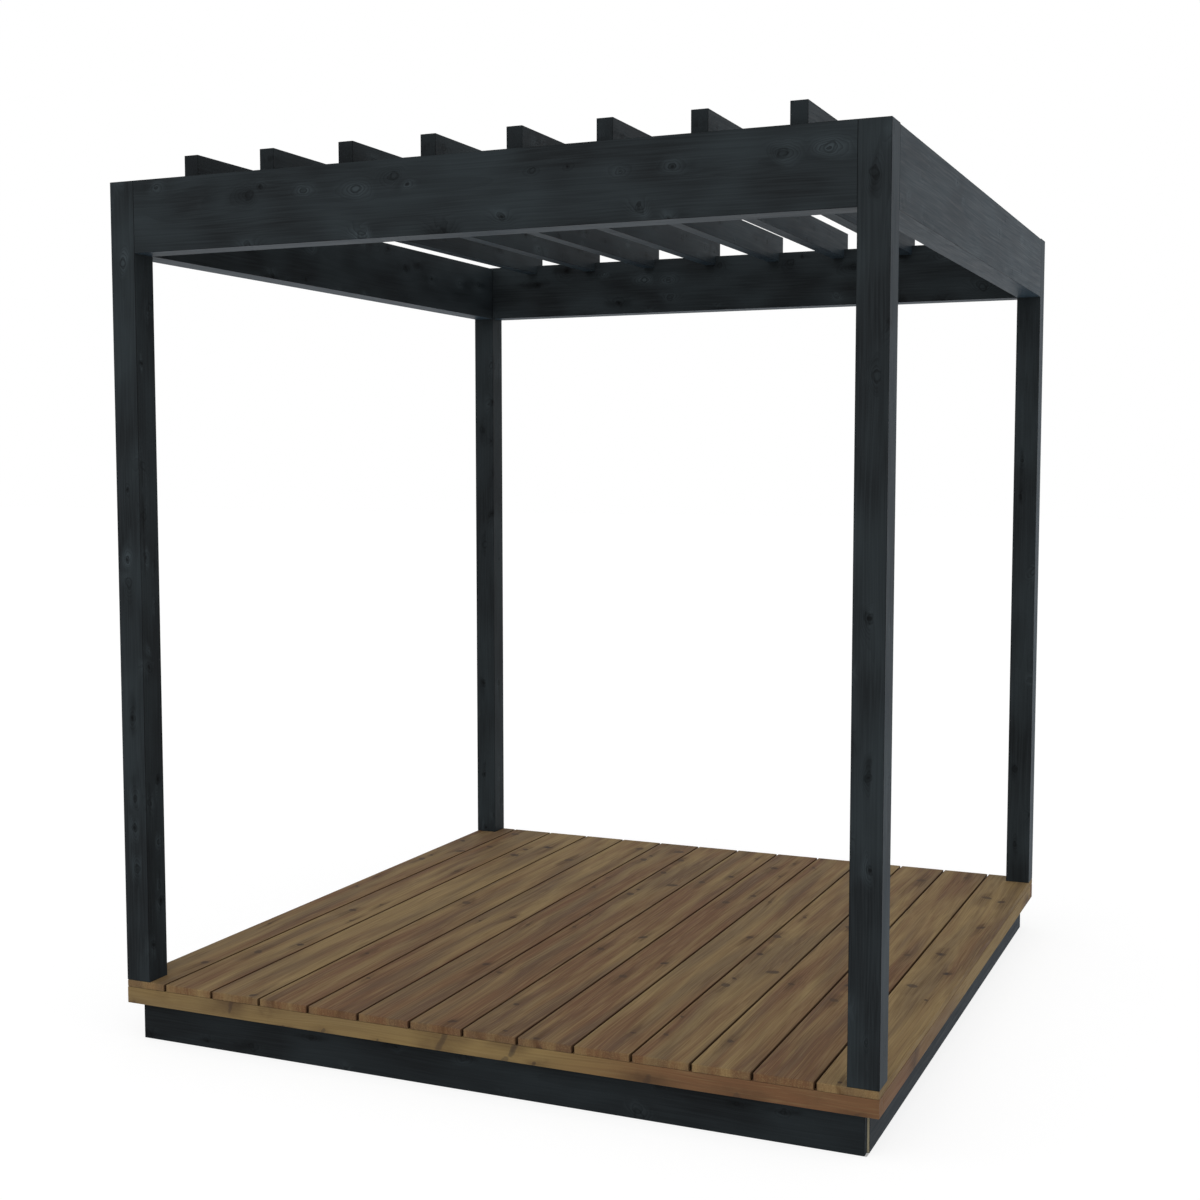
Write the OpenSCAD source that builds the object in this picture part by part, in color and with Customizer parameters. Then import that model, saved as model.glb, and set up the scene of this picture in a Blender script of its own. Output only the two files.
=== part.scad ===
// Free-standing garden pergola on a raised timber deck: four posts, four beams that butt
// between the post heads, notched rafters, deck boards on joists, and a plinth set in below.
// Millimetres. +X runs to the right along the front, +Y to the back, +Z up.
// The origin is on the ground, at the middle of the footprint.

/* [Frame] */
// Outside width over the posts and the deck
frame_w = 2500; // [1800:10:4000]
// Outside depth over the posts and the deck
frame_d = 2560; // [1800:10:4000]
// Height of the posts above the deck
post_h = 2565; // [2000:5:3000]
// Side of the square posts, and thickness of the beams that butt between them
post_w = 90; // [70:1:140]
// Height of the front and back beams, whose tops are flush with the posts
beam_h = 225; // [140:1:300]
// How much lower than the posts the tops of the side beams lie
side_beam_drop = 3; // [0:1:20]
// Radius on the long edges of the frame timbers
frame_arris = 1; // [0.5:0.5:5]

/* [Rafters] */
// Number of rafters
rafter_count = 8; // [3:1:11]
// Thickness of a rafter
rafter_t = 50; // [35:1:80]
// Height of a rafter
rafter_h = 104; // [80:1:180]
// Depth of the notch that lets a rafter down over the beams
notch_depth = 35; // [10:1:60]
// Side clearance between the notch's shoulder and the inside of the beam
notch_clearance = 0.3; // [0:0.1:1]
// Set-back of the rafter ends from the outside of the beams
rafter_setback = 34; // [5:1:60]
// Space from the outside of the left beam to the first rafter
rafter_left_space = 263; // [150:1:400]
// Space from the last rafter to the outside of the right beam
rafter_right_space = 233; // [150:1:400]

/* [Deck] */
// Thickness of the deck boards
board_t = 24; // [18:1:40]
// Width of a full deck board
board_w = 175; // [90:1:220]
// Gap between deck boards
board_gap = 6; // [3:0.5:12]
// Least width that the ripped board at the left may have
board_rip = 60; // [30:5:90]
// Radius on the long edges of the deck boards
board_arris = 3; // [0.5:0.5:6]
// Height of the rim and the joists under the boards
rim_h = 53; // [35:1:120]
// Thickness of the rim
rim_t = 45; // [30:1:70]
// Number of joists between the front and back rims
joist_count = 4; // [2:1:8]
// Thickness of a joist
joist_t = 45; // [30:1:70]

/* [Plinth] */
// Height of the plinth boards
plinth_h = 122; // [60:1:250]
// Thickness of the plinth boards
plinth_t = 28; // [20:1:40]
// Set-back of the side plinth boards from the deck's edge
plinth_inset_x = 40; // [10:1:42]
// Set-back of the front and back plinth boards from the deck's edge
plinth_inset_y = 32; // [10:1:42]
// Step from the outside of a side plinth board in to the short end of the front or back one
plinth_step = 7; // [0:1:15]
// Thickness of the bearer that carries the joists along the middle
bearer_t = 45; // [30:1:70]

/* [Hidden] */
$fn = 32;

// Heights of the seats, from the ground up
rim_z = plinth_h;
board_z = rim_z + rim_h;
deck_z = board_z + board_t;
beam_top = deck_z + post_h;
beam_z = beam_top - beam_h;
rafter_z = beam_top - notch_depth;

// Half sizes of the footprint, to its outside and to the inside of the beams
half_w = frame_w / 2;
half_d = frame_d / 2;
inner_w = frame_w - 2 * post_w;
inner_d = frame_d - 2 * post_w;

// Rafters are spread evenly between their two end spaces
rafter_pitch = (frame_w - rafter_left_space - rafter_right_space - rafter_t) / (rafter_count - 1);

// Full boards are laid from the right, and the first one at the left is ripped to fit
board_pitch = board_w + board_gap;
board_count = ceil((frame_w - board_rip) / board_pitch);
ripped_w = frame_w - (board_count - 1) * board_pitch;

// Joists lie between the side rims, spread evenly between the front and back rims
joist_l = frame_w - 2 * rim_t;
joist_pitch = (frame_d - rim_t) / (joist_count + 1);

// Plinth boards: the front and back ones run across, the side ones stand between them
plinth_w = frame_w - 2 * plinth_inset_x - plinth_step;
plinth_side_l = frame_d - 2 * (plinth_inset_y + plinth_t);

STAIN = [0.17, 0.19, 0.20];
DECKING = [0.44, 0.33, 0.22];
RAW_PINE = [0.50, 0.42, 0.28];

SIDES = ["left", "right"];
ENDS = ["front", "back"];

function post_name(end, side) = str(end, "_", side, "_post");
function numbered(stem, i) = str(stem, i < 10 ? "_0" : "_", i);

// Section of a planed timber with its four long edges eased
module eased_section(w, h, arris) {
    r = min(arris, w / 4, h / 4);
    translate([r, 0]) square([w - 2 * r, h]);
    translate([0, r]) square([w, h - 2 * r]);
    for (x = [r, w - r], y = [r, h - r])
        translate([x, y]) circle(r);
}

// Timbers that run along one axis from their lowest corner, w wide and h high
module timber_x(l, w, h, arris) {
    rotate([90, 0, 90]) linear_extrude(l) eased_section(w, h, arris);
}

module timber_y(l, w, h, arris) {
    translate([0, l, 0]) rotate([90, 0, 0]) linear_extrude(l) eased_section(w, h, arris);
}

module timber_z(l, w, arris) {
    linear_extrude(l) eased_section(w, w, arris);
}

// A piece drawn for the front or the left is turned half round for the other one
module at_end(end) {
    rotate([0, 0, end == "back" ? 180 : 0]) children();
}

module at_side(side) {
    rotate([0, 0, side == "right" ? 180 : 0]) children();
}

// Front and back plinth boards stand on edge on the ground. Seen from outside, each is flush with the
// side board at its left end and stops a step short of the one at its right end
module end_plinth(end) {
    color(STAIN) at_end(end)
        translate([plinth_inset_x - half_w, plinth_inset_y - half_d, 0])
            timber_x(plinth_w, plinth_t, plinth_h, frame_arris);
}

// Side plinth boards stand between the front and back ones, a step proud of their short ends
module side_plinth(side) {
    color(STAIN) at_side(side)
        translate([plinth_inset_x - half_w, -plinth_side_l / 2, 0])
            timber_y(plinth_side_l, plinth_t, plinth_h, frame_arris);
}

// The bearer runs from front to back under the middle of the joists
module middle_bearer() {
    color(RAW_PINE) translate([-bearer_t / 2, -plinth_side_l / 2, 0])
        timber_y(plinth_side_l, bearer_t, plinth_h, frame_arris);
}

// Front and back rims run the full width, so their ends show at the sides
module end_rim(end) {
    color(RAW_PINE) at_end(end)
        translate([-half_w, -half_d, rim_z])
            timber_x(frame_w, rim_t, rim_h, frame_arris);
}

// Side rims fill in between the front and back rims
module side_rim(side) {
    side_rim_l = frame_d - 2 * rim_t;
    color(RAW_PINE) at_side(side)
        translate([-half_w, -side_rim_l / 2, rim_z])
            timber_y(side_rim_l, rim_t, rim_h, frame_arris);
}

// Joists cross from rim to rim and bear on the side plinths and the middle bearer
module joist(i) {
    joist_y = rim_t / 2 - half_d + i * joist_pitch;
    color(RAW_PINE) translate([-joist_l / 2, joist_y - joist_t / 2, rim_z])
        timber_x(joist_l, joist_t, rim_h, frame_arris);
}

// Deck boards run from front to back, flush with the rims; board 1 is the ripped one
module deck_board(i) {
    width = i == 1 ? ripped_w : board_w;
    right_edge = half_w - (board_count - i) * board_pitch;
    color(DECKING) translate([right_edge - width, -half_d, board_z])
        timber_y(frame_d, width, board_t, board_arris);
}

// Posts stand on the deck, flush with its corners
module post(end, side) {
    post_x = side == "left" ? -half_w : half_w - post_w;
    post_y = end == "front" ? -half_d : half_d - post_w;
    color(STAIN) translate([post_x, post_y, deck_z])
        timber_z(post_h, post_w, frame_arris);
}

// Front and back beams butt between the posts, flush with their faces
module end_beam(end) {
    color(STAIN) at_end(end)
        translate([-inner_w / 2, -half_d, beam_z])
            timber_x(inner_w, post_w, beam_h, frame_arris);
}

// Side beams do the same from front to back, with their undersides level and their tops a little lower
module side_beam(side) {
    color(STAIN) at_side(side)
        translate([-half_w, -inner_d / 2, beam_z])
            timber_y(inner_d, post_w, beam_h - side_beam_drop, frame_arris);
}

// Side view of a rafter: notched at both ends, it sits on the beams and hangs between them
module rafter_outline() {
    tip = half_d - rafter_setback;
    shoulder = inner_d / 2 - notch_clearance;
    seat = beam_top - rafter_z;
    polygon([
        [-tip, seat], [-shoulder, seat], [-shoulder, 0], [shoulder, 0],
        [shoulder, seat], [tip, seat], [tip, rafter_h], [-tip, rafter_h]
    ]);
}

// Rafters run from front to back: the outline is cut from a bar with eased edges
module rafter(i) {
    left_x = -half_w + rafter_left_space + (i - 1) * rafter_pitch;
    color(STAIN) translate([left_x, 0, rafter_z]) intersection() {
        rotate([90, 0, 90]) linear_extrude(rafter_t) rafter_outline();
        translate([0, -half_d, 0]) timber_y(frame_d, rafter_t, rafter_h, frame_arris);
    }
}

for (end = ENDS)
    end_plinth(end);
for (side = SIDES)
    side_plinth(side);
middle_bearer();
for (end = ENDS)
    end_rim(end);
for (side = SIDES)
    side_rim(side);
for (i = [1 : joist_count])
    joist(i);
for (i = [1 : board_count])
    deck_board(i);
for (end = ENDS, side = SIDES)
    post(end, side);
for (end = ENDS)
    end_beam(end);
for (side = SIDES)
    side_beam(side);
for (i = [1 : rafter_count])
    rafter(i);
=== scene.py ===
import math
import random

import bpy
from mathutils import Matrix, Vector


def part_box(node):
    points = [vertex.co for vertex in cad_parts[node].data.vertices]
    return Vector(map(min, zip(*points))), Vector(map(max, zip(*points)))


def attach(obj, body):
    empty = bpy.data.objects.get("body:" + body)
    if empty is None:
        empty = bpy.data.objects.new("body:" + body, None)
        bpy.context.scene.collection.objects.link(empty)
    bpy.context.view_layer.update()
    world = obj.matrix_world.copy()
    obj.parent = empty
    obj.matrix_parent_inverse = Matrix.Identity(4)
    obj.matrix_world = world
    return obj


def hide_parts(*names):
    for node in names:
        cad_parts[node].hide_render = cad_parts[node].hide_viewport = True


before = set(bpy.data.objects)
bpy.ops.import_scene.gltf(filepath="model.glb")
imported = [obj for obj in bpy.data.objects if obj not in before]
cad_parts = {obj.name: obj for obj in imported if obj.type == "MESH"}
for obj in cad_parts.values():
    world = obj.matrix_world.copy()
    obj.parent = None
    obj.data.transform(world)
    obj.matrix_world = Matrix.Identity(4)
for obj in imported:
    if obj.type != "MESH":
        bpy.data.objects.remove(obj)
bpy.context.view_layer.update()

# Plinth: four boards on edge that carry the deck a little inside its outline. Planed spruce in a dark
# blue-grey stain, with the side boards butted between the front and back ones and screwed. At one end
# the front and back boards stop a few millimetres short, so that a side board's bare cut end shows.


def add(tree, kind, links, **settings):
    """Adds a node with its settings, and links its inputs or sets their values. A node that is given as
    an input stands for the first of its outputs that is in use."""
    node = tree.nodes.new(kind)
    for name, value in settings.items():
        setattr(node, name, value)
    for socket, value in links.items():
        if isinstance(value, bpy.types.Node):
            value = next(output for output in value.outputs if output.enabled)
        if isinstance(value, bpy.types.NodeSocket):
            tree.links.new(value, node.inputs[socket])
        else:
            node.inputs[socket].default_value = value
    return node


# Every timber is one planed bar: a section with eased edges swept along its length, with both end
# edges eased to match. Rafters lose a notch at each end. The bar keeps where each point lies in the
# log it was sawn from, as "grain", with the pith along x, how knotty, red and soaked with stain the
# timber is, and which faces are eased edges, cut ends and sides.
planed = bpy.data.node_groups.new("planed_timber", "GeometryNodeTree")
planed.interface.new_socket("Mesh", in_out="OUTPUT", socket_type="NodeSocketGeometry")
for name, kind in {
    "Length": "Float",
    "Width": "Float",
    "Height": "Float",
    "Arris": "Float",
    "Notch Run": "Float",
    "Notch Rise": "Float",
    "Pith": "Vector",
    "Knots": "Float",
    "Heart Near": "Float",
    "Heart Far": "Float",
    "Soak": "Float",
    "Turn": "Vector",
    "Place": "Vector",
    "Finish": "Material",
    "End Finish": "Material",
}.items():
    planed.interface.new_socket(name, in_out="INPUT", socket_type="NodeSocket" + kind)
sizes = add(planed, "NodeGroupInput", {}).outputs
section = add(
    planed,
    "GeometryNodeCurvePrimitiveQuadrilateral",
    {"Width": sizes["Width"], "Height": sizes["Height"]},
)
section = add(
    planed,
    "GeometryNodeFilletCurve",
    {"Curve": section, "Count": 3, "Radius": sizes["Arris"]},
    mode="POLY",
)
far_end = add(planed, "ShaderNodeMath", {0: sizes["Length"], 1: sizes["Arris"]}, operation="SUBTRACT")
run_start = add(planed, "ShaderNodeCombineXYZ", {"X": sizes["Arris"]})
run_end = add(planed, "ShaderNodeCombineXYZ", {"X": far_end})
run = add(planed, "GeometryNodeCurvePrimitiveLine", {"Start": run_start, "End": run_end})
bar = add(planed, "GeometryNodeCurveToMesh", {"Curve": run, "Profile Curve": section, "Fill Caps": True})
# A face is flat where its normal lies along an axis, and an eased edge where it leans. The sides take
# in the eased edges along them.
flat = 0.999
leaning_in = 0.3
normal = add(planed, "GeometryNodeInputNormal", {})
normal = add(planed, "ShaderNodeVectorMath", {0: normal}, operation="ABSOLUTE")
facing = add(planed, "ShaderNodeSeparateXYZ", {"Vector": normal}).outputs
straightest = add(planed, "ShaderNodeMath", {0: facing["X"], 1: facing["Y"]}, operation="MAXIMUM")
straightest = add(planed, "ShaderNodeMath", {0: straightest, 1: facing["Z"]}, operation="MAXIMUM")
is_eased = add(planed, "FunctionNodeCompare", {"A": straightest, "B": flat}, operation="LESS_THAN")
is_cut = add(planed, "FunctionNodeCompare", {"A": facing["X"], "B": flat}, operation="GREATER_THAN")
is_side = add(planed, "FunctionNodeCompare", {"A": facing["Y"], "B": leaning_in}, operation="GREATER_THAN")
# The end edges are eased in two steps that follow a quarter circle: out, and in towards the middle.
here = add(planed, "GeometryNodeInputPosition", {})
off_middle = add(planed, "ShaderNodeVectorMath", {0: here}, operation="SIGN")
long_step = math.sqrt(0.5)
short_step = 1 - long_step
for step_out, step_in in ((long_step, short_step), (short_step, long_step)):
    out = add(planed, "ShaderNodeMath", {0: sizes["Arris"], 1: step_out}, operation="MULTIPLY")
    drawn = add(
        planed,
        "GeometryNodeExtrudeMesh",
        {"Mesh": bar, "Selection": is_cut, "Offset Scale": out, "Individual": True},
    )
    shares = (0.0, -step_in, -step_in)
    inward = add(planed, "ShaderNodeVectorMath", {0: off_middle, 1: shares}, operation="MULTIPLY")
    inward = add(planed, "ShaderNodeVectorMath", {0: inward, "Scale": sizes["Arris"]}, operation="SCALE")
    bar = add(
        planed,
        "GeometryNodeSetPosition",
        {"Geometry": drawn, "Selection": drawn.outputs["Top"], "Offset": inward},
    )
# Each notch takes a corner off the underside, so its cutter is twice its size, round that corner.
cutter_size = add(
    planed,
    "ShaderNodeCombineXYZ",
    {"X": sizes["Notch Run"], "Y": sizes["Width"], "Z": sizes["Notch Rise"]},
)
cutter_size = add(planed, "ShaderNodeVectorMath", {0: cutter_size, "Scale": 2.0}, operation="SCALE")
cutter = add(planed, "GeometryNodeMeshCube", {"Size": cutter_size})
underside = add(planed, "ShaderNodeMath", {0: sizes["Height"], 1: -0.5}, operation="MULTIPLY")
notched = bar
for corner in (0.0, sizes["Length"]):
    corner = add(planed, "ShaderNodeCombineXYZ", {"X": corner, "Z": underside})
    placed = add(planed, "GeometryNodeTransform", {"Geometry": cutter, "Translation": corner})
    notched = add(
        planed,
        "GeometryNodeMeshBoolean",
        {"Mesh 1": notched, "Mesh 2": placed},
        operation="DIFFERENCE",
        solver="EXACT",
    )
has_notch = add(
    planed,
    "FunctionNodeCompare",
    {"A": sizes["Notch Rise"], "B": 0.0},
    operation="GREATER_THAN",
)
bar = add(
    planed,
    "GeometryNodeSwitch",
    {"Switch": has_notch, "False": bar, "True": notched},
    input_type="GEOMETRY",
)
in_log = add(planed, "ShaderNodeVectorMath", {0: here, 1: sizes["Pith"]}, operation="SUBTRACT")
reached = add(planed, "ShaderNodeSeparateXYZ", {"Vector": here}).outputs["X"]
heart = add(
    planed,
    "ShaderNodeMapRange",
    {
        "Value": reached,
        "From Max": sizes["Length"],
        "To Min": sizes["Heart Near"],
        "To Max": sizes["Heart Far"],
    },
)
for name, kind, domain, value in (
    ("grain", "FLOAT_VECTOR", "POINT", in_log),
    ("heart", "FLOAT", "POINT", heart),
    ("knots", "FLOAT", "POINT", sizes["Knots"]),
    ("soak", "FLOAT", "POINT", sizes["Soak"]),
    ("eased", "FLOAT", "FACE", is_eased),
    ("cut_end", "FLOAT", "FACE", is_cut),
    ("side", "FLOAT", "FACE", is_side),
):
    bar = add(
        planed,
        "GeometryNodeStoreNamedAttribute",
        {"Geometry": bar, "Name": name, "Value": value},
        data_type=kind,
        domain=domain,
    )
# Only the narrow eased faces are shaded smooth, and the planed faces stay flat.
bar = add(planed, "GeometryNodeSetShadeSmooth", {"Geometry": bar, "Shade Smooth": is_eased})
bar = add(
    planed,
    "GeometryNodeTransform",
    {"Geometry": bar, "Rotation": sizes["Turn"], "Translation": sizes["Place"]},
)
bar = add(planed, "GeometryNodeRealizeInstances", {"Geometry": bar})
bar = add(planed, "GeometryNodeSetMaterial", {"Geometry": bar, "Material": sizes["Finish"]})
was_cut = add(planed, "GeometryNodeInputNamedAttribute", {"Name": "cut_end"}, data_type="FLOAT")
bar = add(
    planed,
    "GeometryNodeSetMaterial",
    {"Geometry": bar, "Selection": was_cut, "Material": sizes["End Finish"]},
)
add(planed, "NodeGroupOutput", {"Mesh": bar})


def timber(
    node,
    runs,
    arris,
    finish,
    pith,
    knots,
    heart=(0.0, 0.0),
    soak=0.0,
    end_finish=None,
    notch=(0.0, 0.0),
):
    """Planes a timber in the place of a CAD node, running along x, y or z. The pith lies at (across, up)
    from the middle of its section, give or take a little from one timber to the next, and knots is the
    share of its branches that grew. Heart is how red the wood is at its two ends, from 0 for sapwood to 1
    for heartwood, and past these where it stays plain for a stretch. Soak is how dark the stain has
    taken, and notch is a rafter's notch, as run and rise."""
    low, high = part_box(node)
    size = high - low
    middle = (low + high) / 2
    length, width, height, turn, place = {
        "x": (size.x, size.y, size.z, (0.0, 0.0, 0.0), (low.x, middle.y, middle.z)),
        "y": (size.y, size.x, size.z, (0.0, 0.0, math.pi / 2), (middle.x, low.y, middle.z)),
        "z": (size.z, size.y, size.x, (0.0, -math.pi / 2, 0.0), (middle.x, middle.y, low.z)),
    }[runs]
    # The figure is one endless log, and each timber takes its own stretch of it.
    draw = random.Random(node)
    log_foot = draw.uniform(-40.0, -5.0)
    drift = 0.012
    values = {
        "Length": length,
        "Width": width,
        "Height": height,
        "Arris": arris,
        "Notch Run": notch[0],
        "Notch Rise": notch[1],
        "Pith": [log_foot] + [centre + draw.uniform(-drift, drift) for centre in pith],
        "Knots": knots,
        "Heart Near": heart[0],
        "Heart Far": heart[1],
        "Soak": soak,
        "Turn": turn,
        "Place": place,
        "Finish": finish,
        "End Finish": end_finish or finish,
    }
    piece = bpy.data.objects.new(node + "_timber", bpy.data.meshes.new(node + "_blank"))
    bpy.context.scene.collection.objects.link(piece)
    planing = piece.modifiers.new("planed_timber", "NODES")
    planing.node_group = planed
    for socket in planed.interface.items_tree:
        if socket.in_out == "INPUT":
            planing[socket.identifier] = values[socket.name]
    graph = bpy.context.evaluated_depsgraph_get()
    piece_planed = piece.evaluated_get(graph)
    mesh = bpy.data.meshes.new_from_object(piece_planed, preserve_all_data_layers=True, depsgraph=graph)
    piece.modifiers.remove(planing)
    piece.data = mesh
    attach(piece, "root")
    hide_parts(node)


# The figure of a softwood log, in the solid: growth rings round a pith that isn't quite straight,
# and branches that grow out of it, each a knot where a sawn face cuts it, with the rings bulging
# past it. Real rings are 2 to 4 mm wide, and each finish draws them as coarse as the render shows.
softwood = bpy.data.node_groups.new("softwood_figure", "ShaderNodeTree")
for name in ("Waver", "Ring Width", "Knot Spacing", "Knot Radius"):
    softwood.interface.new_socket(name, in_out="INPUT", socket_type="NodeSocketFloat")
sizes = add(softwood, "NodeGroupInput", {}).outputs
figure = {}
log = add(softwood, "ShaderNodeAttribute", {}, attribute_name="grain").outputs["Vector"]
# The log bends about every 700 mm along its length, and every 170 mm across it.
bends_a_metre = (1.4, 6.0, 6.0)
noise_middle = (0.5, 0.5, 0.5)
bend = add(softwood, "ShaderNodeVectorMath", {0: log, 1: bends_a_metre}, operation="MULTIPLY")
bend = add(softwood, "ShaderNodeTexNoise", {"Vector": bend, "Scale": 1.0, "Detail": 1.0}).outputs["Color"]
bend = add(softwood, "ShaderNodeVectorMath", {0: bend, 1: noise_middle}, operation="SUBTRACT")
waver = add(softwood, "ShaderNodeCombineXYZ", {"Y": sizes["Waver"], "Z": sizes["Waver"]})
log = add(softwood, "ShaderNodeVectorMath", {0: bend, 1: waver, 2: log}, operation="MULTIPLY_ADD")
# Long noises, each with a second one beside it: fibres, drawn coarser than real ones so that they
# show, streaks of colour, whole veins of heartwood, and clouds where a finish takes unevenly. The
# sizes are their length, width and depth in mm.
for name, beside, noise_size, detail in (
    ("Fibre", "Pore", (260, 4, 4), 2.0),
    ("Streak", "Smear", (450, 10, 200), 2.0),
    ("Vein", "Zone", (900, 70, 200), 2.0),
    ("Cloud", "Patch", (260, 130, 130), 1.0),
):
    repeats = [1000 / size for size in noise_size]
    stretched = add(softwood, "ShaderNodeVectorMath", {0: log, 1: repeats}, operation="MULTIPLY")
    noise = add(softwood, "ShaderNodeTexNoise", {"Vector": stretched, "Scale": 1.0, "Detail": detail})
    noise = add(softwood, "ShaderNodeSeparateColor", {"Color": noise.outputs["Color"]})
    figure[name] = noise.outputs["Red"]
    figure[beside] = noise.outputs["Green"]
# Bearings round the pith are taken from its front, so that they meet at the back of the log.
from_front = (0.0, -1.0, 1.0)
across = add(softwood, "ShaderNodeVectorMath", {0: log, 1: from_front}, operation="MULTIPLY")
radius = add(softwood, "ShaderNodeVectorMath", {0: across}, operation="LENGTH").outputs["Value"]
across = add(softwood, "ShaderNodeSeparateXYZ", {"Vector": across}).outputs
bearing = add(softwood, "ShaderNodeMath", {0: across["Z"], 1: across["Y"]}, operation="ARCTAN2")
# Branches lean up the trunk as they grow out of it.
lean = 0.5
along = add(softwood, "ShaderNodeSeparateXYZ", {"Vector": log}).outputs["X"]
along = add(softwood, "ShaderNodeMath", {0: radius, 1: -lean, 2: along}, operation="MULTIPLY_ADD")
along = add(softwood, "ShaderNodeMath", {0: along, 1: sizes["Knot Spacing"]}, operation="DIVIDE")
# One cell for each branch, laid out along the log and round it.
crown = add(softwood, "ShaderNodeCombineXYZ", {"X": along, "Y": bearing})
cells = {}
for feature in ("F1", "DISTANCE_TO_EDGE"):
    cells[feature] = add(
        softwood,
        "ShaderNodeTexVoronoi",
        {"Vector": crown, "Scale": 1.0, "Randomness": 0.9},
        voronoi_dimensions="2D",
        feature=feature,
    ).outputs
branch = cells["F1"]
cell_edge = cells["DISTANCE_TO_EDGE"]["Distance"]
cell_margin = 0.16
well_inside = add(softwood, "ShaderNodeMapRange", {"Value": cell_edge, "From Max": cell_margin})
# Where bearings meet no branch grows, so that none is cut in two there. One that doesn't grow is put
# out of reach, many knot radii away.
last_bearing = 2.6
out_of_reach = 9.0
luck = add(softwood, "ShaderNodeSeparateColor", {"Color": branch["Color"]}).outputs
knotty = add(softwood, "ShaderNodeAttribute", {}, attribute_name="knots").outputs["Fac"]
off_seam = add(softwood, "ShaderNodeSeparateXYZ", {"Vector": branch["Position"]}).outputs["Y"]
off_seam = add(softwood, "ShaderNodeMath", {0: off_seam}, operation="ABSOLUTE")
off_seam = add(softwood, "ShaderNodeMath", {0: off_seam, 1: last_bearing}, operation="LESS_THAN")
grows = add(softwood, "ShaderNodeMath", {0: luck["Green"], 1: knotty}, operation="LESS_THAN")
grows = add(softwood, "ShaderNodeMath", {0: grows, 1: off_seam}, operation="MULTIPLY")
missing = add(
    softwood,
    "ShaderNodeMath",
    {0: grows, 1: -out_of_reach, 2: out_of_reach},
    operation="MULTIPLY_ADD",
)
thinnest = 0.5
thickest = 1.4
thickness = add(
    softwood,
    "ShaderNodeMapRange",
    {"Value": luck["Red"], "To Min": thinnest, "To Max": thickest},
)
thickness = add(softwood, "ShaderNodeMath", {0: thickness, 1: sizes["Knot Radius"]}, operation="MULTIPLY")
off_branch = add(softwood, "ShaderNodeVectorMath", {0: crown, 1: branch["Position"]}, operation="SUBTRACT")
off_branch = add(softwood, "ShaderNodeSeparateXYZ", {"Vector": off_branch}).outputs
off_along = add(
    softwood,
    "ShaderNodeMath",
    {0: off_branch["X"], 1: sizes["Knot Spacing"]},
    operation="MULTIPLY",
)
off_round = add(softwood, "ShaderNodeMath", {0: off_branch["Y"]}, operation="SINE")
off_round = add(softwood, "ShaderNodeMath", {0: off_round, 1: radius}, operation="MULTIPLY")
off_branch = add(softwood, "ShaderNodeCombineXYZ", {"X": off_along, "Y": off_round})
# No branch is quite round, so its outline strays by a few millimetres every 30 mm or so.
strays_a_metre = 35.0
stray_reach = (0.02, 0.014, 0.0)
stray = add(softwood, "ShaderNodeVectorMath", {0: log, "Scale": strays_a_metre}, operation="SCALE")
stray = add(softwood, "ShaderNodeTexNoise", {"Vector": stray, "Scale": 1.0, "Detail": 1.0}).outputs["Color"]
stray = add(softwood, "ShaderNodeVectorMath", {0: stray, 1: noise_middle}, operation="SUBTRACT")
stray = add(softwood, "ShaderNodeVectorMath", {0: stray, 1: stray_reach}, operation="MULTIPLY")
off_branch = add(softwood, "ShaderNodeVectorMath", {0: off_branch, 1: stray}, operation="ADD")
# How far a point lies from the branch, in knot radii, and the same drawn out along the grain for the
# eye that the rings make round the knot and for the dark tail that runs through it, both of which
# fade out before the next branch.
reach = {}
for name, draw_out in (
    ("Knot", (0.9, 1.0, 0.0)),
    ("Halo", (0.27, 0.5, 0.0)),
    ("Tail", (0.12, 0.8, 0.0)),
):
    away = add(softwood, "ShaderNodeVectorMath", {0: off_branch, 1: draw_out}, operation="MULTIPLY")
    away = add(softwood, "ShaderNodeVectorMath", {0: away}, operation="LENGTH").outputs["Value"]
    away = add(softwood, "ShaderNodeMath", {0: away, 1: thickness}, operation="DIVIDE")
    reach[name] = add(softwood, "ShaderNodeMath", {0: away, 1: missing}, operation="ADD")
for name in ("Halo", "Tail"):
    fade = add(softwood, "ShaderNodeMath", {0: reach[name], 1: reach[name]}, operation="MULTIPLY")
    fade = add(softwood, "ShaderNodeMath", {0: fade, 1: -1.0}, operation="MULTIPLY")
    fade = add(softwood, "ShaderNodeMath", {0: fade}, operation="EXPONENT")
    figure[name] = add(softwood, "ShaderNodeMath", {0: fade, 1: well_inside}, operation="MULTIPLY")
# Rings pass a knot in a bulge of its own size, and run closer together in some zones than in others.
# Each one darkens towards its late wood and ends there.
ring_bulge = 2.4
ring_crowding = 3.0
bulge = add(softwood, "ShaderNodeMath", {0: figure["Halo"], 1: thickness}, operation="MULTIPLY")
ring = add(softwood, "ShaderNodeMath", {0: bulge, 1: -ring_bulge, 2: radius}, operation="MULTIPLY_ADD")
ring = add(softwood, "ShaderNodeMath", {0: ring, 1: sizes["Ring Width"]}, operation="DIVIDE")
ring = add(
    softwood,
    "ShaderNodeMath",
    {0: figure["Zone"], 1: ring_crowding, 2: ring},
    operation="MULTIPLY_ADD",
)
ring = add(softwood, "ShaderNodeMath", {0: ring}, operation="FRACT")
figure["Ring"] = add(softwood, "ShaderNodeMath", {0: ring, 1: ring}, operation="MULTIPLY")
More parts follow.
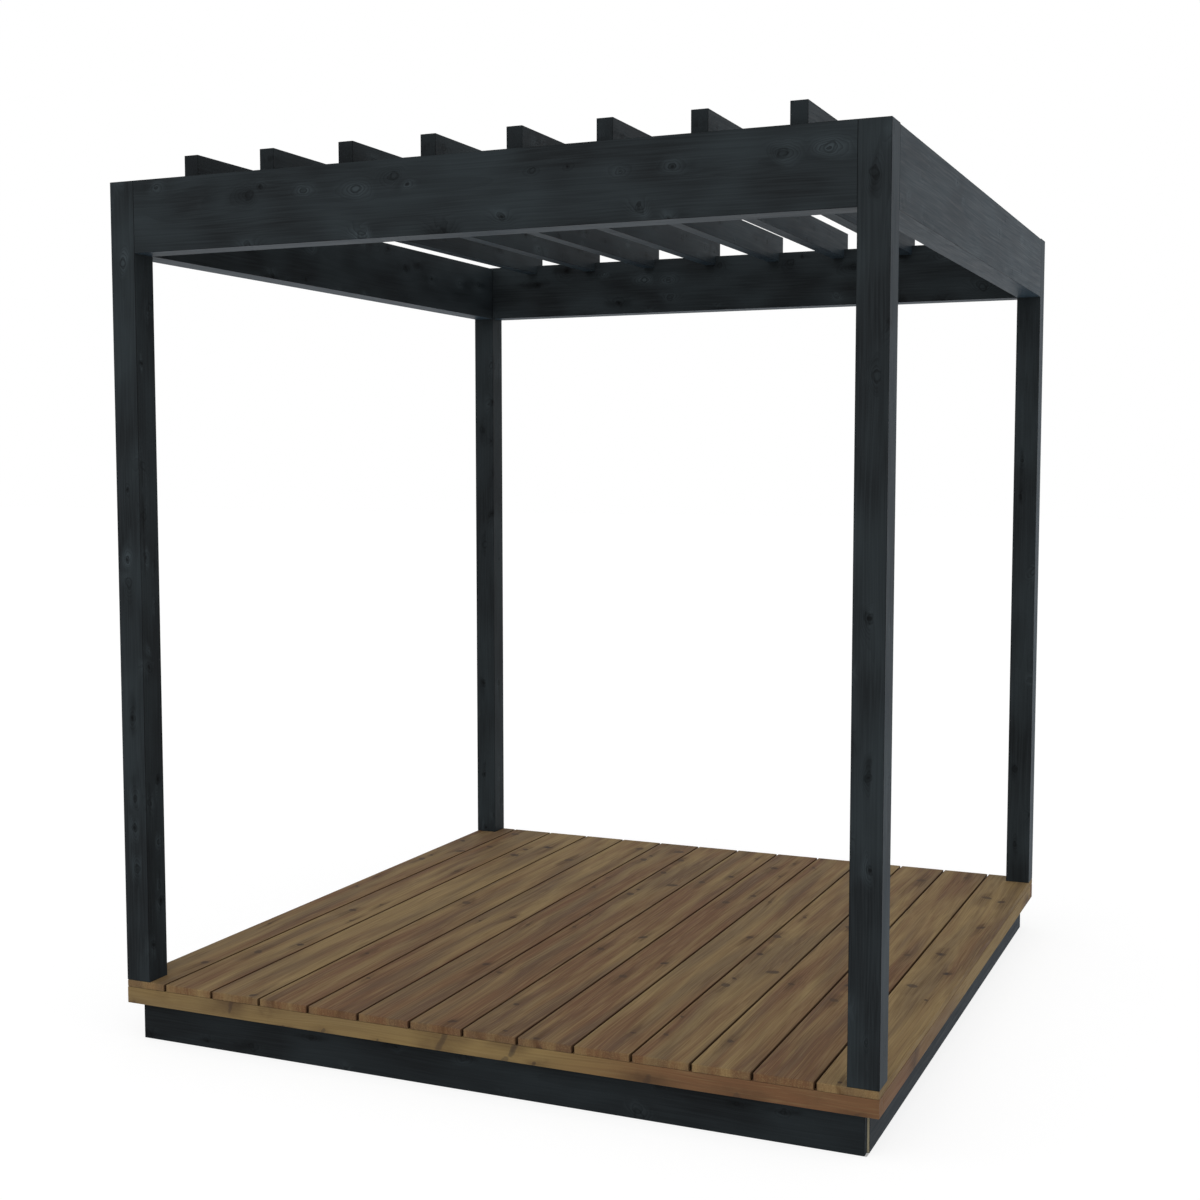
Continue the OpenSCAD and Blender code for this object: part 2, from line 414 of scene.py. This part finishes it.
# A knot has a soft outline with a ring of bark round it. About half are dead ones, dark in the middle.
bark_radius = 0.95
bark_width = 0.38
figure["Knot"] = add(
    softwood,
    "ShaderNodeMapRange",
    {"Value": reach["Knot"], "From Min": 1.2, "From Max": 0.65},
)
bark = add(softwood, "ShaderNodeMath", {0: reach["Knot"], 1: bark_radius}, operation="SUBTRACT")
bark = add(softwood, "ShaderNodeMath", {0: bark}, operation="ABSOLUTE")
figure["Bark"] = add(
    softwood,
    "ShaderNodeMapRange",
    {"Value": bark, "From Min": bark_width, "From Max": 0.0},
)
dead = add(softwood, "ShaderNodeMapRange", {"Value": luck["Blue"], "From Min": 0.4, "From Max": 0.6})
core = add(softwood, "ShaderNodeMapRange", {"Value": reach["Knot"], "From Min": 0.8, "From Max": 0.3})
figure["Core"] = add(softwood, "ShaderNodeMath", {0: core, 1: dead}, operation="MULTIPLY")
for name in figure:
    softwood.interface.new_socket(name, in_out="OUTPUT", socket_type="NodeSocketFloat")
add(softwood, "NodeGroupOutput", figure)


def blank_tree(owner):
    """The node tree of a new material or world, cleared of what Blender puts in it."""
    owner.use_nodes = True
    owner.node_tree.nodes.clear()
    return owner.node_tree


def linear(colour):
    """An sRGB hex colour as linear red, green, blue and alpha."""
    parts = [int(colour[place : place + 2], 16) / 255 for place in (1, 3, 5)]
    return [p / 12.92 if p <= 0.04045 else ((p + 0.055) / 1.055) ** 2.4 for p in parts] + [1.0]


# Planed spruce under a thin dark stain: nearly black, blue-grey where light skims it. Knots and the
# rings round them show through. The stain lies in soft clouds, and is darkest on cut ends, which drink
# it in. The eased edges are darkened in patches as well, a painted shade for the shadow in the joints.
stained = bpy.data.materials.new("stained_spruce")
tree = blank_tree(stained)
figure = add(
    tree,
    "ShaderNodeGroup",
    {"Waver": 0.03, "Ring Width": 0.007, "Knot Spacing": 0.13, "Knot Radius": 0.01},
    node_tree=softwood,
).outputs
cloud = add(tree, "ShaderNodeMapRange", {"Value": figure["Cloud"], "From Min": 0.34, "From Max": 0.66})
colour = add(
    tree,
    "ShaderNodeMix",
    {"Factor": cloud, "A": linear("#1d2022"), "B": linear("#2b3134")},
    data_type="RGBA",
)
fibre = add(
    tree,
    "ShaderNodeMapRange",
    {"Value": figure["Fibre"], "From Min": 0.38, "From Max": 0.66, "To Max": 0.34},
)
pale_patch = add(
    tree,
    "ShaderNodeMapRange",
    {"Value": figure["Patch"], "From Min": 0.45, "From Max": 0.6, "To Max": 0.85},
)
pale_patch = add(tree, "ShaderNodeMath", {0: pale_patch, 1: figure["Halo"]}, operation="MULTIPLY")
late = add(tree, "ShaderNodeMapRange", {"Value": figure["Halo"], "To Min": 0.14, "To Max": 0.7})
late = add(tree, "ShaderNodeMath", {0: figure["Ring"], 1: late}, operation="MULTIPLY")
smudge = add(
    tree,
    "ShaderNodeMapRange",
    {"Value": figure["Smear"], "From Min": 0.4, "From Max": 0.65, "To Max": 0.7},
)
smudge = add(tree, "ShaderNodeMath", {0: figure["Tail"], 1: smudge}, operation="MULTIPLY")
bark = add(tree, "ShaderNodeMapRange", {"Value": figure["Bark"], "To Max": 0.45})
core = add(tree, "ShaderNodeMapRange", {"Value": figure["Core"], "To Max": 0.75})
end_soak = 0.22
soak = add(tree, "ShaderNodeAttribute", {}, attribute_name="soak").outputs["Fac"]
cut = add(tree, "ShaderNodeAttribute", {}, attribute_name="cut_end").outputs["Fac"]
soak = add(tree, "ShaderNodeMath", {0: cut, 1: end_soak, 2: soak}, operation="MULTIPLY_ADD", use_clamp=True)
# Painted shade: every eased edge is darkened towards near black, more in some patches, to stand in for the
# shadow in the joint grooves.
painted_edge_shade = add(tree, "ShaderNodeAttribute", {}, attribute_name="eased").outputs["Fac"]
edge_shade_patches = add(
    tree,
    "ShaderNodeMapRange",
    {"Value": figure["Patch"], "From Min": 0.3, "From Max": 0.6, "To Min": 0.5, "To Max": 0.9},
)
painted_edge_shade = add(tree, "ShaderNodeMath", {0: painted_edge_shade, 1: edge_shade_patches}, operation="MULTIPLY")
for share, layer in (
    (fibre, "#33393c"),
    (pale_patch, "#40484c"),
    (late, "#0f1113"),
    (smudge, "#0b0c0d"),
    (bark, "#060707"),
    (core, "#040404"),
    (soak, "#09090a"),
    (painted_edge_shade, "#070808"),
):
    colour = add(
        tree,
        "ShaderNodeMix",
        {"Factor": share, "A": colour, "B": linear(layer)},
        data_type="RGBA",
    )
grip = add(tree, "ShaderNodeMath", {0: figure["Fibre"], 1: late}, operation="ADD")
relief = add(tree, "ShaderNodeBump", {"Strength": 0.3, "Distance": 0.0006, "Height": grip})
dull = add(
    tree,
    "ShaderNodeMapRange",
    {"Value": figure["Fibre"], "From Min": 0.3, "From Max": 0.7, "To Min": 0.42, "To Max": 0.56},
)
soak_dulls = 0.14
dull = add(tree, "ShaderNodeMath", {0: soak, 1: soak_dulls, 2: dull}, operation="MULTIPLY_ADD")
surface = add(
    tree,
    "ShaderNodeBsdfPrincipled",
    {
        "Base Color": colour,
        "Roughness": dull,
        "IOR": 1.5,
        "Specular IOR Level": 0.037,
        "Sheen Weight": 0.12,
        "Sheen Roughness": 0.3,
        "Sheen Tint": linear("#82b0d4"),
        "Normal": relief,
    },
)
add(tree, "ShaderNodeOutputMaterial", {"Surface": surface})

# Bare spruce, sawn and left untreated: pale straw with darker latewood and brown knots. It shows
# where the stained side boards were cut to length, and under the deck.
raw = bpy.data.materials.new("raw_spruce")
tree = blank_tree(raw)
figure = add(
    tree,
    "ShaderNodeGroup",
    {"Waver": 0.04, "Ring Width": 0.005, "Knot Spacing": 0.3, "Knot Radius": 0.011},
    node_tree=softwood,
).outputs
late = add(tree, "ShaderNodeMapRange", {"Value": figure["Ring"], "To Max": 0.5})
colour = linear("#a49c84")
for share, layer in ((late, "#807359"), (figure["Knot"], "#5c4029")):
    colour = add(
        tree,
        "ShaderNodeMix",
        {"Factor": share, "A": colour, "B": linear(layer)},
        data_type="RGBA",
    )
relief = add(tree, "ShaderNodeBump", {"Strength": 0.5, "Distance": 0.0008, "Height": figure["Fibre"]})
rough = add(tree, "ShaderNodeMapRange", {"Value": figure["Fibre"], "To Min": 0.75, "To Max": 0.9})
surface = add(
    tree,
    "ShaderNodeBsdfPrincipled",
    {
        "Base Color": colour,
        "Roughness": rough,
        "IOR": 1.5,
        "Specular IOR Level": 0.2,
        "Normal": relief,
    },
)
add(tree, "ShaderNodeOutputMaterial", {"Surface": surface})

stained_arris = 0.001
plinth_pith = (0.06, 0.01)
for node in ("front_plinth", "back_plinth"):
    timber(node, "x", stained_arris, stained, plinth_pith, knots=0.45, soak=0.33)
for node in ("left_plinth", "right_plinth"):
    timber(
        node,
        "y",
        stained_arris,
        stained,
        plinth_pith,
        knots=0.3,
        soak=0.5,
        end_finish=raw,
    )

# Middle bearer and joists: sawn spruce left untreated, out of sight under the boards. The bearer
# stands on the ground halfway across, and the joists lie on it and on the side plinth boards.
sawn_arris = 0.001
bearer_pith = (0.05, 0.0)
timber("middle_bearer", "y", sawn_arris, raw, bearer_pith, knots=0.4)
joist_pith = (0.0, -0.05)
for number in range(1, 5):
    timber(f"joist_{number:02d}", "x", sawn_arris, raw, joist_pith, knots=0.4)

# Rim: four planed strips under the ends of the boards, flush with them, the front and back ones over
# the full width. Brown oiled larch, screwed up into the boards. The strips are sawn close to the
# pith, so that a branch shows as a streak that slants across the strip.


def oiled_larch(name, sapwood, heartwood, knot_spacing, knot_radius, mottle, gloss, shaded_gap_reach):
    """Planed larch under a brown oil: olive-tan sapwood and red-brown heartwood in long veins, with
    grey-brown smears, and soft dark knots that have a tail along the grain. Cut ends take more oil. Sides
    that face a gap, less than the given gap reach from the middle of the deck, get a painted shade."""
    material = bpy.data.materials.new(name)
    tree = blank_tree(material)
    figure = add(
        tree,
        "ShaderNodeGroup",
        {"Waver": 0.045, "Ring Width": 0.009, "Knot Spacing": knot_spacing, "Knot Radius": knot_radius},
        node_tree=softwood,
    ).outputs
    heart = add(tree, "ShaderNodeAttribute", {}, attribute_name="heart").outputs["Fac"]
    for pattern, share in (("Vein", 1.2), ("Streak", 0.25)):
        half = share * mottle / 2
        sway = add(
            tree,
            "ShaderNodeMapRange",
            {"Value": figure[pattern], "From Min": 0.34, "From Max": 0.66, "To Min": -half, "To Max": half},
        )
        heart = add(tree, "ShaderNodeMath", {0: heart, 1: sway}, operation="ADD", use_clamp=True)
    # Each layer has the pattern that it follows, where that starts and is full, and its largest share.
    layers = [(heart, heartwood)]
    for pattern, start, full, most, layer in (
        ("Smear", 0.47, 0.36, 0.2, "#8a7752"),
        ("Zone", 0.46, 0.64, 0.55, "#524438"),
        ("Smear", 0.53, 0.66, 0.2, "#4e4035"),
        ("Ring", 0.0, 1.0, 0.14, "#57402c"),
        ("Fibre", 0.45, 0.7, 0.42, "#523f2e"),
        ("Pore", 0.5, 0.72, 0.32, "#93805a"),
        ("Knot", 0.3, 0.8, 0.78, "#38332f"),
        ("Core", 0.0, 1.0, 0.85, "#282728"),
    ):
        share = add(
            tree,
            "ShaderNodeMapRange",
            {"Value": figure[pattern], "From Min": start, "From Max": full, "To Max": most * mottle},
        )
        layers.append((share, layer))
    tail = add(
        tree,
        "ShaderNodeMapRange",
        {"Value": figure["Streak"], "From Min": 0.35, "From Max": 0.6, "To Min": 0.2, "To Max": 0.8},
    )
    tail = add(tree, "ShaderNodeMath", {0: figure["Tail"], 1: tail}, operation="MULTIPLY")
    layers.append((tail, "#493626"))
    oily = add(tree, "ShaderNodeAttribute", {}, attribute_name="cut_end").outputs["Fac"]
    oily = add(tree, "ShaderNodeMapRange", {"Value": oily, "To Max": 0.15})
    layers.append((oily, "#7b5533"))
    # Painted shade: board sides that face a gap between boards are darkened, to stand in for the shadow
    # down in the gap.
    place = add(tree, "ShaderNodeTexCoord", {}).outputs["Object"]
    place = add(tree, "ShaderNodeSeparateXYZ", {"Vector": place}).outputs["X"]
    place = add(tree, "ShaderNodeMath", {0: place}, operation="ABSOLUTE")
    painted_gap_shade = add(tree, "ShaderNodeMath", {0: place, 1: shaded_gap_reach}, operation="LESS_THAN")
    side = add(tree, "ShaderNodeAttribute", {}, attribute_name="side").outputs["Fac"]
    painted_gap_shade = add(tree, "ShaderNodeMath", {0: painted_gap_shade, 1: side}, operation="MULTIPLY")
    painted_gap_shade = add(tree, "ShaderNodeMapRange", {"Value": painted_gap_shade, "To Max": 0.7})
    layers.append((painted_gap_shade, "#301d11"))
    colour = linear(sapwood)
    for share, layer in layers:
        colour = add(
            tree,
            "ShaderNodeMix",
            {"Factor": share, "A": colour, "B": linear(layer)},
            data_type="RGBA",
        )
    relief = add(tree, "ShaderNodeBump", {"Strength": 0.4, "Distance": 0.0006, "Height": figure["Fibre"]})
    rough = add(
        tree,
        "ShaderNodeMapRange",
        {"Value": figure["Fibre"], "From Min": 0.3, "From Max": 0.7, "To Min": 0.6, "To Max": 0.75},
    )
    surface = add(
        tree,
        "ShaderNodeBsdfPrincipled",
        {
            "Base Color": colour,
            "Roughness": rough,
            "IOR": 1.5,
            "Specular IOR Level": gloss,
            "Normal": relief,
        },
    )
    add(tree, "ShaderNodeOutputMaterial", {"Surface": surface})
    return material


oiled_rim = oiled_larch(
    "oiled_larch_rim",
    sapwood="#806b45",
    heartwood="#6b4c34",
    knot_spacing=0.24,
    knot_radius=0.009,
    mottle=0.6,
    gloss=0.12,
    shaded_gap_reach=0.0,
)
rim_arris = 0.0015
rim_pith = (-0.022, -0.05)
for node in ("front_rim", "back_rim"):
    timber(node, "x", rim_arris, oiled_rim, rim_pith, knots=0.95, heart=(-2.8, 2.1))
for node in ("left_rim", "right_rim"):
    timber(node, "y", rim_arris, oiled_rim, rim_pith, knots=0.5, heart=(1.3, -0.9))

# Deck: fourteen boards from front to back with a narrow gap between them, the first one ripped down.
# Brown oiled larch with rounded edges, screwed to the joists. Each board is given how red it is at
# its front end and at its back end.
# Every side but the two outer ones of the deck faces a gap, and is darkened there as painted shade.
deck_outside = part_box("deck_board_14")[1].x
gap_margin = 0.01
oiled_deck = oiled_larch(
    "oiled_larch_decking",
    sapwood="#87724f",
    heartwood="#664a36",
    knot_spacing=0.2,
    knot_radius=0.013,
    mottle=1.0,
    gloss=0.05,
    shaded_gap_reach=deck_outside - gap_margin,
)
board_arris = 0.003
board_pith = (0.0, -0.06)
redness = (
    (0.5, 0.5),
    (0.3, 0.4),
    (0.1, 0.1),
    (0.8, 0.0),
    (0.8, 0.2),
    (1.1, 0.6),
    (1.1, 0.3),
    (0.7, 0.5),
    (0.8, 0.8),
    (0.3, 0.4),
    (0.4, 0.0),
    (0.3, 0.4),
    (1.3, 0.3),
    (0.1, 0.3),
)
for number, heart in enumerate(redness, start=1):
    node = f"deck_board_{number:02d}"
    timber(node, "y", board_arris, oiled_deck, board_pith, knots=0.24, heart=heart)

# Posts: four square posts that stand on the corners of the deck. Stained spruce, with the pith
# inside, so that knots show on every face.
post_pith = (0.0, 0.0)
for corner in ("front_left", "front_right", "back_left", "back_right"):
    timber(f"{corner}_post", "z", stained_arris, stained, post_pith, knots=0.3)

# Beams: four deep beams that butt between the post heads, flush with their faces. Stained spruce
# sawn beside the pith, fixed from inside.
beam_pith = (0.1, 0.02)
for node in ("front_beam", "back_beam"):
    timber(node, "x", stained_arris, stained, beam_pith, knots=0.6)
for node in ("left_beam", "right_beam"):
    timber(node, "y", stained_arris, stained, beam_pith, knots=0.55)

# Rafters: eight narrow timbers from front to back, each notched at both ends to sit over the beams.
# Stained spruce, set back a little from the beams' outer faces.
rafter_pith = (0.04, 0.0)
notch_clearance = 0.0003
beam_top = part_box("front_beam")[1]
rafter_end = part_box("rafter_01")[0]
notch = (beam_top.y - rafter_end.y + notch_clearance, beam_top.z - rafter_end.z)
for number in range(1, 9):
    timber(
        f"rafter_{number:02d}",
        "y",
        stained_arris,
        stained,
        rafter_pith,
        knots=0.5,
        soak=0.05,
        notch=notch,
    )

# Floor: a plain white sweep under the pergola. It is lit like any pale floor, and the camera and
# reflections see it lifted to white, so that only the soft shadow at the plinth stays. Inside the
# plinth nothing is lifted, so that the board gaps look down into the dark.


def in_sight(tree):
    """1 for a ray that shows a thing to the camera, straight or in a reflection, and 0 for one that only
    gathers light."""
    ray = add(tree, "ShaderNodeLightPath", {}).outputs
    seen = ray["Is Camera Ray"]
    for also in ("Is Glossy Ray", "Is Transmission Ray"):
        seen = add(tree, "ShaderNodeMath", {0: seen, 1: ray[also]}, operation="MAXIMUM")
    return seen


floor_reach = 60.0
plinth_reach = (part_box("right_plinth")[1].x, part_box("back_plinth")[1].y)
corners = []
for reach_x, reach_y in ((floor_reach, floor_reach), plinth_reach):
    for x, y in ((-1, -1), (1, -1), (1, 1), (-1, 1)):
        corners.append((x * reach_x, y * reach_y, 0.0))
faces = [(0, 1, 5, 4), (1, 2, 6, 5), (2, 3, 7, 6), (3, 0, 4, 7), (4, 5, 6, 7)]
floor_mesh = bpy.data.meshes.new("floor")
floor_mesh.from_pydata(corners, [], faces)
floor_mesh.polygons[-1].material_index = 1
floor = bpy.data.objects.new("floor", floor_mesh)
bpy.context.scene.collection.objects.link(floor)
paper_white = linear("#ededed")
paper = bpy.data.materials.new("white_paper")
tree = blank_tree(paper)
matt = add(tree, "ShaderNodeBsdfDiffuse", {"Color": paper_white})
lit = add(tree, "ShaderNodeBsdfDiffuse", {"Color": linear("#898989")})
lift = add(tree, "ShaderNodeEmission", {"Strength": 0.8})
bright = add(tree, "ShaderNodeAddShader", {0: lit, 1: lift})
surface = add(tree, "ShaderNodeMixShader", {0: in_sight(tree), 1: matt, 2: bright})
add(tree, "ShaderNodeOutputMaterial", {"Surface": surface})
shaded = bpy.data.materials.new("shaded_paper")
tree = blank_tree(shaded)
matt = add(tree, "ShaderNodeBsdfDiffuse", {"Color": paper_white})
add(tree, "ShaderNodeOutputMaterial", {"Surface": matt})
for finish in (paper, shaded):
    floor_mesh.materials.append(finish)

# Light: a white room all round and one very soft lamp from the front, over the camera's left
# shoulder, so that a colour renders about as it is written and no hard shadow falls on the deck.
world = bpy.data.worlds.new("white_room")
bpy.context.scene.world = world
tree = blank_tree(world)
level = add(tree, "ShaderNodeMapRange", {"Value": in_sight(tree), "To Min": 0.5, "To Max": 1.0})
room = add(tree, "ShaderNodeBackground", {"Color": linear("#ffffff"), "Strength": level})
add(tree, "ShaderNodeOutputWorld", {"Surface": room})
lamp = bpy.data.lights.new("soft_lamp", "SUN")
lamp.energy = 1.6
lamp.angle = math.radians(110)
lamp_object = bpy.data.objects.new("soft_lamp", lamp)
lamp_object.rotation_euler = (math.radians(38), 0.0, math.radians(12))
bpy.context.scene.collection.objects.link(lamp_object)

# Camera: where the photo was taken from, a little above eye level at the front right corner, with
# a normal lens, looking slightly down.
lens = bpy.data.cameras.new("camera")
lens.sensor_width = 36.0
lens.lens = 50.01
look_down = 0.0774
look_left = 0.4082
camera = bpy.data.objects.new("camera", lens)
camera.location = (2.28967, -5.57006, 1.85792)
camera.rotation_euler = (math.pi / 2 - look_down, 0.0, look_left)
bpy.context.scene.collection.objects.link(camera)
bpy.context.scene.camera = camera
bpy.context.scene.view_settings.view_transform = "Standard"
